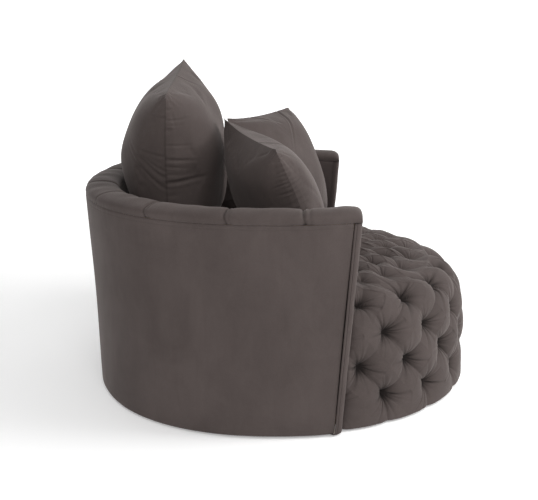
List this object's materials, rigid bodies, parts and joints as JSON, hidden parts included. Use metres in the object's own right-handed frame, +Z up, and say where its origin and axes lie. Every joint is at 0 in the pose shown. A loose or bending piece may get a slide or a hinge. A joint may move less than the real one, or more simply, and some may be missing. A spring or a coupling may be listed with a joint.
{
  "type": "cuddle chair",
  "caption": "Wide round velvet lounge chair with a smooth barrel back, rolled rim, deep-tufted drum seat, loose pillows and a hidden swivel base.",
  "frame": {"origin": "floor level at the centre of the footprint, on the swivel axis", "axes": "+Z up, -Y to the front where the sitter's legs go, +X to the sitter's left"},
  "size_m": [1.146, 1.122, 0.911],
  "materials": {
    "velvet": "short dense pile velvet, dark taupe, over foam or fibre",
    "foam": "open cell seat foam under the cover",
    "webbing": "woven webbing and thin black dust cover cloth",
    "plywood": "bare plywood, unvarnished",
    "steel": "zinc plated pressed steel",
    "nylon": "moulded black nylon"
  },
  "bodies": {
    "base": {"glide_1": "nylon", "glide_2": "nylon", "glide_3": "nylon", "glide_4": "nylon", "glide_5": "nylon", "glide_6": "nylon", "floor_plate": "plywood", "lower_swivel_plate": "steel", "lower_race": "steel", "ball_cage": "steel", "swivel_rivet": "steel", "lower_screw_1": "steel", "lower_screw_2": "steel", "lower_screw_3": "steel", "lower_screw_4": "steel"},
    "chair": {"upper_swivel_plate": "steel", "upper_race": "steel", "upper_bolt_1": "steel", "upper_bolt_2": "steel", "upper_bolt_3": "steel", "upper_bolt_4": "steel", "bottom_board": "plywood", "skirt_rail_back": "plywood", "skirt_rail_front": "plywood", "dust_cover": "webbing", "shell_post_1": "plywood", "shell_post_2": "plywood", "shell_post_3": "plywood", "shell_post_4": "plywood", "shell_post_5": "plywood", "shell_post_6": "plywood", "shell_post_7": "plywood", "top_rail": "plywood", "inner_liner": "plywood", "outer_panel": "velvet", "inner_back_pad": "velvet", "arm_pad_right": "velvet", "arm_pad_left": "velvet", "rim_roll": "velvet", "front_wall": "plywood", "seat_ring": "plywood", "seat_post_1": "plywood", "seat_post_2": "plywood", "seat_post_3": "plywood", "seat_post_4": "plywood", "seat_post_5": "plywood", "seat_post_6": "plywood", "web_long_1": "webbing", "web_long_2": "webbing", "web_long_3": "webbing", "web_long_4": "webbing", "web_cross_1": "webbing", "web_cross_2": "webbing", "web_cross_3": "webbing", "seat_core": "foam", "seat_side_pad": "velvet", "seat_top_pad": "velvet"},
    "pillow_back": {"pillow_back": "velvet"},
    "pillow_right": {"pillow_right": "velvet"},
    "pillow_left": {"pillow_left": "velvet"}
  },
  "joints": [
    {"name": "seat_swivel", "type": "hinge", "parent": "base", "child": "chair", "pos_m": [0, 0, 0], "axis": [0, 0, 1], "continuous": true},
    {"name": "pillow_back_lift", "type": "slide", "parent": "chair", "child": "pillow_back", "axis": [0, 0, 1], "range_m": [0, 0.48]},
    {"name": "pillow_right_lift", "type": "slide", "parent": "chair", "child": "pillow_right", "axis": [0, 0, 1], "range_m": [0, 0.48]},
    {"name": "pillow_left_lift", "type": "slide", "parent": "chair", "child": "pillow_left", "axis": [0, 0, 1], "range_m": [0, 0.48]}
  ]
}
